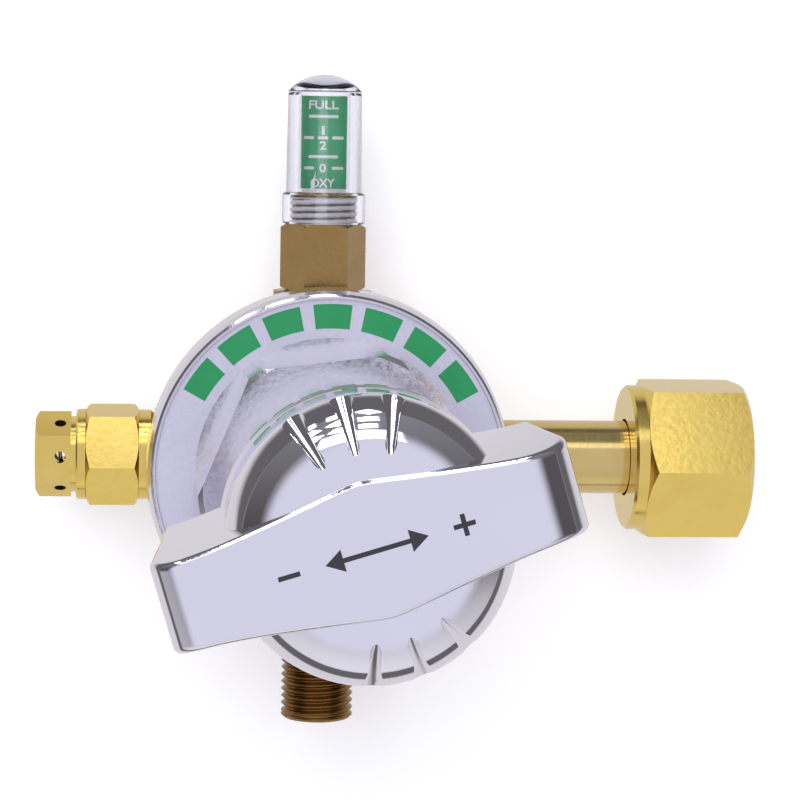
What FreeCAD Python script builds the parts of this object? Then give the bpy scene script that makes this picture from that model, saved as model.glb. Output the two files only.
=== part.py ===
import FreeCAD, Part
import math
import os

# Cylinder regulator for oxygen with a wing-bar adjusting knob.
# Millimetres, Z up.  The bonnet and the knob look along -Y, the inlet points along +X.
# Lengths below are measured from the crossing of the port axes.  Depths are measured forward (-Y).

# Hexagon sizes across flats
inchMm = 25.4
smallHexAf = 9 / 16 * inchMm
valveHexAf = 11 / 16 * inchMm
nutHexAf = 1.125 * inchMm
bonnetHexAf = 1.75 * inchMm
plugHexAf = 0.75 * inchMm

# Clearances
threadGap = 0.04
slideGap = 0.06
restGap = 0.05

# Body forging
bodyRadius = 30.9
bodyRearDepth = -8.0
bodyFaceDepth = 19.0
bodyShoulderDepth = 11.4
bodyWaistRadius = 27.5
rearBossRadius = 13.5
rearBossDepth = -17.0
inletBossRadius = 11.0
inletBossEnd = 33.5
reliefBossRadius = 9.0
reliefBossEnd = -32.0
gaugeBossRadius = 9.5
gaugeBossTop = 32.1
outletBossRadius = 10.0
outletBossEnd = -30.0
lowChamberRadius = 26.0
lowChamberDepth = 12.5
highChamberRadius = 6.6
highChamberFloor = 2.0
nozzleBoreRadius = 4.6
passageRadius = 1.5
outletPassageRadius = 2.4
outletPassageOffset = 20.0

# Bonnet forging
bonnetRearDepth = 13.0
bonnetRearRadius = 33.2
bonnetBulgeDepth = 22.8
bonnetBulgeRun = 3.0
bonnetRadius = 33.84
bonnetRimDepth = 28.9
bonnetRimRadius = 32.6
labelSeatRadius = 32.0
labelSeatDepth = 28.0
labelInnerRadius = 24.86
labelThickness = 0.15
bonnetHexFront = 50.0
bonnetHexAngle = 7.3
bonnetHexCornerRadius = 24.86
bonnetHexChamfer = 0.9
neckRadius = 20.0
neckFrontDepth = 103.0
springBoreRadius = 16.0
springBoreFront = 90.0
springBoreRun = 10.7
clampShoulderRadius = 27.2
skirtGap = 0.05

# Diaphragm stack
diaphragmThickness = 1.2
diaphragmWave = 1.1
slipRingThickness = 1.1
waveClear = 1.5
waveRun = 3.0
clampShoulderDepth = bodyFaceDepth + diaphragmThickness + slipRingThickness
plateRadius = 14.6
plateThickness = 2.2
plateSpigotRadius = 9.0
plateSpigotHeight = 3.0

# Adjusting spring, button and screw
springMeanRadius = 12.4
springWireRadius = 1.7
springTurns = 6
buttonDepth = 79.0
buttonThickness = 4.6
buttonRadius = 15.0
buttonSpigotRadius = 9.4
buttonSpigotHeight = 3.0
screwRadius = 7 / 16 * inchMm / 2
screwTipRadius = 3.6
screwTipDepth = 81.4
screwFrontDepth = 120.0
screwNeckLength = 4.0

# Knob with its wing bar
knobRearDepth = 98.5
knobRadius = 22.4
knobLipRadius = 22.7
knobLipLength = 2.2
knobHollowRadius = 20.6
knobHollowDepth = 14.5
knobShoulderDepth = 110.0
knobFaceDepth = 122.6
knobFaceRadius = 14.6
wingAngle = 16.8
wingFrontDepth = 124.0
wingRearDepth = 99.0
wingDraft = 1.9
wingEdgeFillet = 1.1
wingTipFront = 34.0
wingTipRear = 30.0
wingLeftRounding = 5.0
wingRightRounding = 8.5
# Half heights of the wing's outline at stations along the bar
wingStations = ((0.0, 10.6), (2.5, 10.35), (8.0, 9.45), (15.0, 8.35), (22.0, 7.4), (29.0, 6.9), (36.5, 7.1))
flutesBelow = (-106.0, -85.0, -63.0)
flutesAbove = (66.0, 86.5, 107.0)
fluteTipRadius = 0.5
fluteRimRadius = 2.7
fluteStart = (13.6, 124.3)
fluteEnd = (27.0, 111.8)

# Pressure-closed valve behind the nozzle
nozzleFlangeRadius = 7.0
nozzleFlangeThickness = 2.0
nozzleHoleRadius = 1.6
nozzleLipRadius = 2.4
poppetHeadRadius = 3.9
poppetHeadRear = -5.6
poppetStemRadius = 1.0
poppetTailRadius = 1.7
poppetTailRear = -10.2
poppetSpringMeanRadius = 3.0
poppetSpringWireRadius = 0.4
poppetSpringTurns = 4
plugThreadRadius = 8.6
plugFrontDepth = -7.4
plugCupRadius = 4.4
plugCupFloor = -11.5
plugHeadRear = -22.0
plugGuideRear = -14.0
plugRingMinor = 0.8
plugRingMajor = 9.7

# Inlet nipple, nut and filter
nippleInnerEnd = 23.0
nippleThreadRadius = 7.6
nippleRadius = smallHexAf / 2
nippleShoulderStart = 68.0
nippleShoulderEnd = 70.5
nippleShoulderRadius = 9.9
noseRadius = 6.4
noseStraightEnd = 76.5
noseTip = 79.5
nippleBoreRadius = 2.4
filterBoreRadius = 3.6
filterBoreStart = 62.0
filterRecess = 1.5
nutRearFace = 59.87
nutCollarEnd = 63.4
nutCollarRadius = 14.15
nutFrontFace = 82.8
nutHexAngle = -26.0
nutThreadRadius = 10.47
nutMouthChamfer = 0.9
nutBoreGap = 0.4

# Relief valve
reliefThreadRadius = 6.0
reliefThreadEnd = -22.0
reliefShoulderRadius = 8.65
reliefShoulderChamfer = 0.8
reliefHexStart = -35.05
reliefHexEnd = -45.2
reliefHexAngle = -21.0
reliefRingRadius = 8.7
reliefRingEnd = -47.0
reliefNeckRadius = 7.27
reliefCapStart = -48.0
reliefCapEnd = -54.75
reliefCapAngle = -1.0
reliefCapWall = 1.3
reliefStubRadius = 5.0
reliefStubEnd = -52.6
reliefBoreRadius = 3.6
reliefSeatFace = -38.0
reliefSeatRadius = 1.8
reliefVentX = -50.0
reliefVentRadius = 1.1
reliefPoppetRadius = 3.3
reliefPoppetLength = 2.4
reliefPoppetSpigot = 1.6
reliefSpringMeanRadius = 2.45
reliefSpringWireRadius = 0.35
reliefSpringTurns = 5

# Contents indicator
gaugeThreadRadius = 6.0
gaugeInnerEnd = 22.0
gaugeHexTop = 44.96
gaugeHexAngle = 1.0
gaugeNeckRadius = 6.6
gaugeNeckTop = 50.6
gaugeBoreRadius = 2.6
gaugeBoreFloor = 27.6
gaugePortRadius = 1.2
guideLength = 2.0
pistonRadius = gaugeBoreRadius - slideGap
pistonLength = 3.6
pistonRestHeight = 27.8
pistonRodRadius = 0.9
pistonSpringMeanRadius = 1.8
pistonSpringWireRadius = 0.3
pistonSpringTurns = 6
pistonRingMinor = 0.45
pistonRingSqueeze = 0.05
pistonRingGap = 0.05
lensFlangeRadius = 7.99
flangeRise = 0.3
lensFlangeTop = gaugeNeckTop + flangeRise
lensRadiusLow = 7.27
lensRadiusHigh = 7.08
lensShoulderHeight = 70.3
lensDomeTop = 73.5
lensBoreRadius = 5.0
lensBoreTop = 70.0
lensBoreChamfer = 0.5
scaleThickness = 0.2
scaleGap = 0.08
scaleRise = 1.0
scaleBottom = gaugeNeckTop + scaleRise
scaleTop = lensBoreTop - lensBoreChamfer - scaleGap
scaleHalfAngle = 76.0
pointerDiscRadius = 4.2
pointerDiscBottom = gaugeNeckTop + flangeRise
pointerDiscThickness = 0.7
pointerTipHeight = pointerDiscBottom + 4.1
pointerBladeX = -2.3
pointerBladeWidth = 0.9

# Outlet fitting
outletThreadInner = -21.0
outletThreadInnerRadius = 6.0
outletHexEnd = -38.8
outletHexAngle = 18.0
outletReliefRadius = 6.25
outletReliefEnd = -39.8
outletThreadRadius = 7.0
outletEnd = -51.4
outletEndChamfer = 0.55
outletBoreRadius = 3.2
outletConeRadius = 5.2
outletConeDepth = 2.2

# The part's origin: on the inlet axis where the nipple's nose meets its shoulder
originX = nippleShoulderEnd

os.makedirs("parts", exist_ok=True)
Vector = FreeCAD.Vector
axisX = Vector(1, 0, 0)
axisY = Vector(0, 1, 0)
axisZ = Vector(0, 0, 1)
centre = Vector(0, 0, 0)


def save(shape, name):
    solid = shape.copy()
    solid.translate(Vector(-originX, 0, 0))
    solid.exportStep("parts/" + name + ".step")


def turned(profile, place, axis):
    points = [place(along, radius) for along, radius in profile]
    wire = Part.makePolygon(points + points[:1])
    return Part.Face(wire).revolve(centre, axis, 360)


def turnedX(profile):
    return turned(profile, lambda along, radius: Vector(along, 0, radius), axisX)


def turnedZ(profile):
    return turned(profile, lambda along, radius: Vector(radius, 0, along), axisZ)


# The first number of each pair is the forward depth
def turnedY(profile):
    return turned(profile, lambda depth, radius: Vector(radius, -depth, 0), axisY)


def rod(start, end, radius):
    along = end - start
    return Part.makeCylinder(radius, along.Length, start, along)


def rodX(start, end, radius):
    return rod(Vector(start, 0, 0), Vector(end, 0, 0), radius)


def rodY(start, end, radius):
    return rod(Vector(0, -start, 0), Vector(0, -end, 0), radius)


def rodZ(start, end, radius):
    return rod(Vector(0, 0, start), Vector(0, 0, end), radius)


# Forward, across and up directions of the three ways a bar can lie, with the matching turning function
bars = {
    "x": (axisX, axisZ, axisY.negative(), turnedX),
    "y": (axisY.negative(), axisX, axisZ, turnedY),
    "z": (axisZ, axisX, axisY, turnedZ),
}


# Hexagon bar with its corners turned down at 30 degrees where an end is cut
def hexBar(way, start, end, acrossFlats, angle, startCut=True, endCut=True):
    along, across, up, turnedAlong = bars[way]
    corner = acrossFlats / math.sqrt(3)
    ring = []
    for step in range(7):
        turn = math.radians(angle + 60 * step)
        ring.append(along * start + across * (corner * math.cos(turn)) + up * (corner * math.sin(turn)))
    bar = Part.Face(Part.makePolygon(ring)).extrude(along * (end - start))
    outer = corner * 1.002
    small = acrossFlats / 2 * 0.985
    cut = math.copysign((outer - small) * math.tan(math.radians(30)), end - start)
    profile = [(start, 0)]
    profile += [(start, small), (start + cut, outer)] if startCut else [(start, outer)]
    profile += [(end - cut, outer), (end, small)] if endCut else [(end, outer)]
    profile += [(end, 0)]
    return bar.common(turnedAlong(profile))


# Spring with ground ends, wound along Z from start to end
def coil(meanRadius, wireRadius, start, end, turns):
    height = end - start - 2 * wireRadius
    helix = Part.makeHelix(height / turns, height, meanRadius)
    ring = Part.Wire(Part.makeCircle(wireRadius, Vector(meanRadius, 0, 0), axisY))
    spring = Part.Wire(helix).makePipeShell([ring], True, True)
    spring.translate(Vector(0, 0, start + wireRadius))
    return spring


# Body forging with its four bosses, chambers and drilled passages
def makeBody():
    body = turnedY([
        (rearBossDepth, 0), (rearBossDepth, rearBossRadius - 1), (rearBossDepth + 1, rearBossRadius),
        (bodyRearDepth - 3, rearBossRadius), (bodyRearDepth, bodyWaistRadius - 3),
        (bodyRearDepth + 2.5, bodyWaistRadius), (bodyShoulderDepth - 2, bodyWaistRadius),
        (bodyShoulderDepth, bodyRadius), (bodyFaceDepth, bodyRadius), (bodyFaceDepth, 0)])
    bosses = [
        rodX(0, inletBossEnd, inletBossRadius),
        rodX(0, reliefBossEnd, reliefBossRadius),
        rodZ(0, gaugeBossTop, gaugeBossRadius),
        rodZ(0, outletBossEnd, outletBossRadius)]
    body = body.fuse(bosses).removeSplitter()
    hollows = [
        rodY(rearBossDepth - 1, plugFrontDepth, plugThreadRadius + threadGap),
        rodY(rearBossDepth - 1, rearBossDepth + 2 * plugRingMinor, plugRingMajor + plugRingMinor + 0.1),
        rodY(plugFrontDepth - 1, highChamberFloor, highChamberRadius),
        rodY(highChamberFloor - 1, lowChamberDepth + 1, nozzleBoreRadius + threadGap),
        rodY(lowChamberDepth - nozzleFlangeThickness, lowChamberDepth + 1, nozzleFlangeRadius + threadGap),
        turnedY([
            (lowChamberDepth, 0), (lowChamberDepth, lowChamberRadius - 4),
            (bodyFaceDepth - 1.5, lowChamberRadius), (bodyFaceDepth + 1, lowChamberRadius),
            (bodyFaceDepth + 1, 0)]),
        rodX(nippleInnerEnd, inletBossEnd + 1, nippleThreadRadius + threadGap),
        rodX(0, nippleInnerEnd, passageRadius),
        rodX(reliefThreadEnd, reliefBossEnd - 1, reliefThreadRadius + threadGap),
        rodX(-outletPassageOffset - passageRadius, reliefThreadEnd - 0.1, passageRadius),
        rod(Vector(-outletPassageOffset, 0, 0), Vector(-outletPassageOffset, -lowChamberDepth - 1, 0),
            passageRadius),
        rodZ(gaugeInnerEnd, gaugeBossTop + 1, gaugeThreadRadius + threadGap),
        rodZ(0, gaugeInnerEnd, passageRadius),
        rodZ(outletThreadInner, outletBossEnd - 1, outletThreadInnerRadius + threadGap),
        rod(Vector(0, 0, -outletPassageOffset), Vector(0, 0, outletThreadInner - 1), outletPassageRadius),
        rod(Vector(0, 0, -outletPassageOffset + outletPassageRadius),
            Vector(0, -lowChamberDepth - 1, -outletPassageOffset + outletPassageRadius), outletPassageRadius)]
    return body.cut(hollows)


# Bonnet: rolled rim, recessed seat for the ring label, big hexagon, long neck and screw hole
def makeBonnet():
    shell = turnedY([
        (bonnetRearDepth, 0), (bonnetRearDepth, bonnetRearRadius), (bonnetBulgeDepth - bonnetBulgeRun, bonnetRadius),
        (bonnetBulgeDepth, bonnetRadius), (bonnetRimDepth - 2.4, bonnetRadius - 0.35),
        (bonnetRimDepth - 0.5, bonnetRimRadius + 0.35), (bonnetRimDepth, bonnetRimRadius - 0.1),
        (bonnetRimDepth - 0.1, labelSeatRadius + 0.1), (labelSeatDepth, labelSeatRadius), (labelSeatDepth, 0)])
    hexPart = makeBonnetHex()
    neck = turnedY([
        (labelSeatDepth, 0), (labelSeatDepth, neckRadius), (neckFrontDepth - 1.2, neckRadius),
        (neckFrontDepth, neckRadius - 1.2), (neckFrontDepth, 0)])
    bonnet = shell.fuse([hexPart, neck]).removeSplitter()
    inside = turnedY([
        (bonnetRearDepth - 1, 0), (bonnetRearDepth - 1, bodyRadius + skirtGap),
        (clampShoulderDepth, bodyRadius + skirtGap), (clampShoulderDepth, clampShoulderRadius),
        (clampShoulderDepth + 2, clampShoulderRadius - 0.8), (clampShoulderDepth + springBoreRun, springBoreRadius),
        (springBoreFront, springBoreRadius), (springBoreFront, 0)])
    screwHole = rodY(springBoreFront - 1, neckFrontDepth + 1, screwRadius + slideGap)
    return bonnet.cut([inside, screwHole])


def makeBonnetHex():
    corner = bonnetHexAf / math.sqrt(3)
    ring = []
    for step in range(7):
        turn = math.radians(bonnetHexAngle + 60 * step)
        ring.append(Vector(corner * math.cos(turn), -labelSeatDepth + 1, corner * math.sin(turn)))
    bar = Part.Face(Part.makePolygon(ring)).extrude(Vector(0, labelSeatDepth - 1 - bonnetHexFront, 0))
    envelope = turnedY([
        (labelSeatDepth - 1, 0), (labelSeatDepth - 1, bonnetHexCornerRadius),
        (bonnetHexFront - bonnetHexChamfer, bonnetHexCornerRadius),
        (bonnetHexFront, bonnetHexCornerRadius - bonnetHexChamfer), (bonnetHexFront, 0)])
    return bar.common(envelope)


def makeLabel():
    return turnedY([
        (labelSeatDepth, labelInnerRadius), (labelSeatDepth, labelSeatRadius - 0.05),
        (labelSeatDepth + labelThickness, labelSeatRadius - 0.05),
        (labelSeatDepth + labelThickness, labelInnerRadius)])


# One shallow wave lets the middle of the diaphragm travel
def makeDiaphragm():
    back = bodyFaceDepth
    front = bodyFaceDepth + diaphragmThickness
    inner = plateRadius + waveClear
    rows = [(0, 0), (inner, 0), (inner + waveRun, diaphragmWave), (inner + 2 * waveRun, diaphragmWave),
            (inner + 3 * waveRun, 0), (bodyRadius - 0.1, 0)]
    profile = [(back - wave, radius) for radius, wave in rows]
    profile += [(front - wave, radius) for radius, wave in reversed(rows)]
    return turnedY(profile)


def makeSlipRing():
    start = bodyFaceDepth + diaphragmThickness
    return turnedY([
        (start, clampShoulderRadius), (start, bodyRadius - 0.1),
        (clampShoulderDepth, bodyRadius - 0.1), (clampShoulderDepth, clampShoulderRadius)])


def makePlate():
    start = bodyFaceDepth + diaphragmThickness
    return turnedY([
        (start, 0), (start, plateRadius - 0.6), (start + 0.6, plateRadius),
        (start + plateThickness, plateRadius), (start + plateThickness, plateSpigotRadius),
        (start + plateThickness + plateSpigotHeight - 0.8, plateSpigotRadius),
        (start + plateThickness + plateSpigotHeight, plateSpigotRadius - 0.8),
        (start + plateThickness + plateSpigotHeight, 0)])


def forward(shape):
    shape.rotate(centre, axisX, 90)
    return shape


def makeAdjustingSpring():
    start = bodyFaceDepth + diaphragmThickness + plateThickness
    return forward(coil(springMeanRadius, springWireRadius, start, buttonDepth, springTurns))


def makeButton():
    front = buttonDepth + buttonThickness
    return turnedY([
        (buttonDepth - buttonSpigotHeight, 0), (buttonDepth - buttonSpigotHeight, buttonSpigotRadius - 0.8),
        (buttonDepth - buttonSpigotHeight + 0.8, buttonSpigotRadius), (buttonDepth, buttonSpigotRadius),
        (buttonDepth, buttonRadius), (front - 0.8, buttonRadius), (front, buttonRadius - 0.8),
        (front, screwTipRadius + 1.6), (screwTipDepth, screwTipRadius - 0.8), (screwTipDepth, 0)])


def makeScrew():
    tipEnd = screwTipDepth + screwNeckLength
    return turnedY([
        (screwTipDepth, 0), (screwTipDepth, screwTipRadius - 1), (screwTipDepth + 1, screwTipRadius),
        (tipEnd, screwTipRadius), (tipEnd + 1, screwRadius),
        (screwFrontDepth - 0.6, screwRadius), (screwFrontDepth, screwRadius - 0.6), (screwFrontDepth, 0)])


# Outline of the wing seen from the front, taller by the draft towards the rear
def wingOutline(depth, extra):
    top = [Vector(x, -depth, half + extra) for x, half in wingStations]
    whole = [Vector(-point.x, point.y, point.z) for point in reversed(top[1:])] + top
    upper = Part.BSplineCurve()
    upper.interpolate(whole)
    lower = Part.BSplineCurve()
    lower.interpolate([Vector(point.x, point.y, -point.z) for point in reversed(whole)])
    first = whole[0]
    last = whole[-1]
    return Part.Wire([
        upper.toShape(),
        Part.makeLine(last, Vector(last.x, last.y, -last.z)),
        lower.toShape(),
        Part.makeLine(Vector(first.x, first.y, -first.z), first)])


def makeWing():
    bar = Part.makeLoft([wingOutline(wingRearDepth, wingDraft), wingOutline(wingFrontDepth, 0)], True)
    plan = [Vector(-wingTipRear, -wingRearDepth, -20), Vector(-wingTipFront, -wingFrontDepth, -20),
            Vector(wingTipFront, -wingFrontDepth, -20), Vector(wingTipRear, -wingRearDepth, -20)]
    prism = Part.Face(Part.makePolygon(plan + plan[:1])).extrude(Vector(0, 0, 40))
    for side, rounding in ((-1, wingLeftRounding), (1, wingRightRounding)):
        upright = [edge for edge in prism.Edges
                   if abs(edge.Vertexes[0].Z - edge.Vertexes[-1].Z) > 1
                   and edge.CenterOfMass.y < -wingFrontDepth + 1
                   and edge.CenterOfMass.x * side > 0]
        prism = prism.makeFillet(rounding, upright[:1])
    wing = bar.common(prism)
    rim = [edge for edge in wing.Edges
           if edge.CenterOfMass.z > 3 or edge.CenterOfMass.z < -3]
    rim = [edge for edge in rim if edge.CenterOfMass.y < -wingRearDepth - 6]
    return wing.makeFillet(wingEdgeFillet, rim)


# Scalloped knob and wing bar are one chromed casting, hollow behind so that it runs over the neck
def makeHandle():
    start = Vector(knobFaceRadius, -knobFaceDepth, 0)
    end = Vector(knobRadius - 0.4, -knobShoulderDepth, 0)
    bulge = Vector(knobFaceRadius + 0.72 * (end.x - start.x), -knobFaceDepth + 0.24 * (end.y - start.y), 0)
    shoulder = Part.Arc(start, bulge, end).toShape()
    rows = [(knobShoulderDepth, knobRadius), (knobRearDepth + knobLipLength + 1.2, knobRadius),
            (knobRearDepth + knobLipLength, knobLipRadius), (knobRearDepth + 0.6, knobLipRadius),
            (knobRearDepth, knobLipRadius - 0.6), (knobRearDepth, 0), (knobFaceDepth + 0.6, 0)]
    line = Part.makePolygon([end] + [Vector(radius, -depth, 0) for depth, radius in rows] + [start])
    knob = Part.Face(Part.Wire([shoulder] + line.Edges)).revolve(centre, axisY, 360)
    knob = knob.fuse(makeWing())
    flutes = []
    for angle in flutesBelow + flutesAbove:
        inner = Vector(fluteStart[0], -fluteStart[1], 0)
        outer = Vector(fluteEnd[0], -fluteEnd[1], 0)
        along = outer - inner
        tool = Part.makeCone(fluteTipRadius, fluteRimRadius, along.Length, inner, along)
        tool.rotate(centre, axisY, -angle)
        flutes.append(tool)
    knob = knob.cut(flutes)
    knob = knob.cut(rodY(knobRearDepth - 1, knobRearDepth + knobHollowDepth, knobHollowRadius))
    knob = knob.cut(rodY(knobRearDepth, screwFrontDepth, screwRadius + threadGap))
    knob.rotate(centre, axisY, -wingAngle)
    return knob


def makeNozzle():
    return turnedY([
        (highChamberFloor, nozzleHoleRadius), (highChamberFloor, nozzleLipRadius),
        (highChamberFloor + 0.5, nozzleBoreRadius), (lowChamberDepth - nozzleFlangeThickness, nozzleBoreRadius),
        (lowChamberDepth - nozzleFlangeThickness, nozzleFlangeRadius), (lowChamberDepth, nozzleFlangeRadius),
        (lowChamberDepth, nozzleHoleRadius)])


def makePoppet():
    face = highChamberFloor - restGap
    return turnedY([
        (poppetTailRear, 0), (poppetTailRear, poppetTailRadius), (poppetHeadRear, poppetTailRadius),
        (poppetHeadRear, poppetHeadRadius), (face - 0.5, poppetHeadRadius), (face, poppetHeadRadius - 0.5),
        (face, poppetStemRadius), (bodyFaceDepth, poppetStemRadius), (bodyFaceDepth, 0)])


def makePoppetSpring():
    return forward(coil(
        poppetSpringMeanRadius, poppetSpringWireRadius, plugCupFloor, poppetHeadRear, poppetSpringTurns))


def makePlug():
    head = hexBar("y", rearBossDepth, plugHeadRear, plugHexAf, 0, startCut=False)
    stem = rodY(rearBossDepth, plugFrontDepth, plugThreadRadius)
    cup = rodY(plugCupFloor, plugFrontDepth + 1, plugCupRadius)
    guide = rodY(plugGuideRear, plugCupFloor + 1, poppetTailRadius + slideGap)
    return head.fuse(stem).removeSplitter().cut([cup, guide])


def makePlugRing():
    ring = Part.makeTorus(plugRingMajor, plugRingMinor, centre, axisY)
    ring.translate(Vector(0, -rearBossDepth - plugRingMinor, 0))
    return ring


def makeNipple():
    outside = turnedX([
        (nippleInnerEnd, nippleBoreRadius), (nippleInnerEnd, nippleThreadRadius - 0.8),
        (nippleInnerEnd + 0.8, nippleThreadRadius), (inletBossEnd, nippleThreadRadius),
        (inletBossEnd, nippleRadius), (nippleShoulderStart, nippleRadius),
        (nippleShoulderStart, nippleShoulderRadius - 0.4), (nippleShoulderStart + 0.4, nippleShoulderRadius),
        (nippleShoulderEnd - 0.6, nippleShoulderRadius), (nippleShoulderEnd, nippleShoulderRadius - 0.6),
        (nippleShoulderEnd, noseRadius), (noseStraightEnd, noseRadius),
        (noseStraightEnd + 1.6, noseRadius - 0.5), (noseTip - 0.5, noseRadius - 1.5),
        (noseTip, filterBoreRadius + 0.5), (noseTip, filterBoreRadius), (filterBoreStart, filterBoreRadius),
        (filterBoreStart, nippleBoreRadius)])
    return outside


# The filter fills its bore up to a shallow recess in the nose
def makeFilter():
    return rodX(filterBoreStart, noseTip - filterRecess, filterBoreRadius - 0.02)


def makeNut():
    hexPart = hexBar("x", nutCollarEnd - 1.0, nutFrontFace, nutHexAf, nutHexAngle)
    collar = turnedX([
        (nutRearFace, 0), (nutRearFace, nutCollarRadius - 0.5), (nutRearFace + 0.5, nutCollarRadius),
        (nutCollarEnd, nutCollarRadius), (nutCollarEnd, 0)])
    inside = turnedX([
        (nutRearFace - 1, 0), (nutRearFace - 1, nippleRadius + nutBoreGap),
        (nippleShoulderStart - restGap, nippleRadius + nutBoreGap), (nippleShoulderStart - restGap, nutThreadRadius),
        (nutFrontFace - nutMouthChamfer, nutThreadRadius),
        (nutFrontFace, nutThreadRadius + nutMouthChamfer), (nutFrontFace + 1, nutThreadRadius + nutMouthChamfer),
        (nutFrontFace + 1, 0)])
    return hexPart.fuse(collar).removeSplitter().cut(inside)


def ventHoles(length):
    holes = []
    for step in range(6):
        turn = math.radians(reliefCapAngle + 30 + 60 * step)
        end = Vector(reliefVentX, -length * math.sin(turn), length * math.cos(turn))
        holes.append(rod(Vector(reliefVentX, 0, 0), end, reliefVentRadius))
    return holes


def makeReliefBody():
    shoulder = turnedX([
        (reliefHexStart, 0), (reliefHexStart, reliefShoulderRadius),
        (reliefBossEnd - reliefShoulderChamfer, reliefShoulderRadius),
        (reliefBossEnd, reliefShoulderRadius - reliefShoulderChamfer), (reliefBossEnd, reliefThreadRadius),
        (reliefThreadEnd, reliefThreadRadius), (reliefThreadEnd, 0)])
    hexPart = hexBar("x", reliefHexStart, reliefHexEnd, valveHexAf, reliefHexAngle)
    tail = turnedX([
        (reliefHexEnd, 0), (reliefHexEnd, reliefRingRadius), (reliefRingEnd + 0.3, reliefRingRadius),
        (reliefRingEnd, reliefRingRadius - 0.3), (reliefRingEnd, reliefNeckRadius),
        (reliefCapStart, reliefNeckRadius), (reliefCapStart, reliefStubRadius),
        (reliefStubEnd, reliefStubRadius), (reliefStubEnd, 0)])
    bore = rodX(reliefSeatFace, reliefStubEnd - 1, reliefBoreRadius)
    port = rodX(reliefThreadEnd + 1, reliefSeatFace - 1, reliefSeatRadius)
    valve = hexPart.fuse([shoulder, tail]).removeSplitter()
    return valve.cut([bore, port] + ventHoles(reliefStubRadius + 1))


def makeReliefCap():
    cap = hexBar("x", reliefCapStart, reliefCapEnd, smallHexAf, reliefCapAngle, startCut=False)
    hollow = rodX(reliefCapStart + 1, reliefCapEnd + reliefCapWall, reliefStubRadius + threadGap)
    return cap.cut([hollow] + ventHoles(smallHexAf))


def makeReliefPoppet():
    rear = reliefSeatFace - restGap
    front = rear - reliefPoppetLength
    return turnedX([
        (rear, 0), (rear, reliefPoppetRadius), (front, reliefPoppetRadius), (front, reliefPoppetSpigot),
        (front - 1.5, reliefPoppetSpigot), (front - 1.5, 0)])


def makeReliefSpring():
    front = reliefSeatFace - restGap - reliefPoppetLength
    rear = reliefCapEnd + reliefCapWall
    spring = coil(reliefSpringMeanRadius, reliefSpringWireRadius, -front, -rear, reliefSpringTurns)
    spring.rotate(centre, axisY, -90)
    return spring


def makeGaugeHousing():
    hexPart = hexBar("z", gaugeBossTop, gaugeHexTop, smallHexAf, gaugeHexAngle)
    tail = rodZ(gaugeInnerEnd, gaugeBossTop, gaugeThreadRadius)
    neck = turnedZ([
        (gaugeHexTop, 0), (gaugeHexTop, gaugeNeckRadius), (gaugeNeckTop - 0.6, gaugeNeckRadius),
        (gaugeNeckTop, gaugeNeckRadius - 0.6), (gaugeNeckTop, 0)])
    bore = rodZ(gaugeBoreFloor, gaugeNeckTop + 1, gaugeBoreRadius)
    port = rodZ(gaugeInnerEnd - 1, gaugeBoreFloor + 1, gaugePortRadius)
    return hexPart.fuse([tail, neck]).removeSplitter().cut([bore, port])


def makeGuide():
    return turnedZ([
        (gaugeNeckTop - guideLength, pistonRodRadius + slideGap),
        (gaugeNeckTop - guideLength, gaugeBoreRadius), (gaugeNeckTop, gaugeBoreRadius),
        (gaugeNeckTop, pistonRodRadius + slideGap)])


def makePiston():
    head = pistonRestHeight + pistonLength
    middle = pistonRestHeight + pistonLength / 2
    grooveHalf = pistonRingMinor + pistonRingGap
    grooveRadius = pistonRadius - 2 * pistonRingMinor + pistonRingSqueeze - pistonRingGap
    return turnedZ([
        (pistonRestHeight, 0), (pistonRestHeight, pistonRadius), (middle - grooveHalf, pistonRadius),
        (middle - grooveHalf, grooveRadius), (middle + grooveHalf, grooveRadius), (middle + grooveHalf, pistonRadius),
        (head, pistonRadius), (head, pistonRodRadius), (pointerDiscBottom, pistonRodRadius),
        (pointerDiscBottom, 0)])


def makePistonRing():
    ring = Part.makeTorus(pistonRadius - pistonRingMinor + pistonRingSqueeze, pistonRingMinor, centre, axisZ)
    ring.translate(Vector(0, 0, pistonRestHeight + pistonLength / 2))
    return ring


def makePistonSpring():
    start = pistonRestHeight + pistonLength
    end = gaugeNeckTop - guideLength
    return coil(pistonSpringMeanRadius, pistonSpringWireRadius, start, end, pistonSpringTurns)


def makeLens():
    rise = lensDomeTop - lensShoulderHeight
    domeRadius = (lensRadiusHigh ** 2 + rise ** 2) / (2 * rise)
    turn = math.asin(lensRadiusHigh / domeRadius) / 2
    middle = Vector(domeRadius * math.sin(turn), 0, lensDomeTop - domeRadius * (1 - math.cos(turn)))
    shoulder = Vector(lensRadiusHigh, 0, lensShoulderHeight)
    dome = Part.Arc(shoulder, middle, Vector(0, 0, lensDomeTop)).toShape()
    rows = [(lensDomeTop, 0), (gaugeHexTop, 0), (gaugeHexTop, lensFlangeRadius - 0.3),
            (gaugeHexTop + 0.3, lensFlangeRadius), (lensFlangeTop - 0.4, lensFlangeRadius),
            (lensFlangeTop, lensFlangeRadius - 0.4), (lensFlangeTop, lensRadiusLow),
            (lensShoulderHeight, lensRadiusHigh)]
    line = Part.makePolygon([Vector(radius, 0, height) for height, radius in rows])
    outside = Part.Face(Part.Wire([dome] + line.Edges)).revolve(centre, axisZ, 360)
    hollows = [
        rodZ(gaugeHexTop - 1, gaugeNeckTop + 0.2, gaugeNeckRadius + threadGap),
        turnedZ([
            (gaugeNeckTop, 0), (gaugeNeckTop, lensBoreRadius), (lensBoreTop - lensBoreChamfer, lensBoreRadius),
            (lensBoreTop, lensBoreRadius - lensBoreChamfer), (lensBoreTop, 0)])]
    return outside.cut(hollows)


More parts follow.
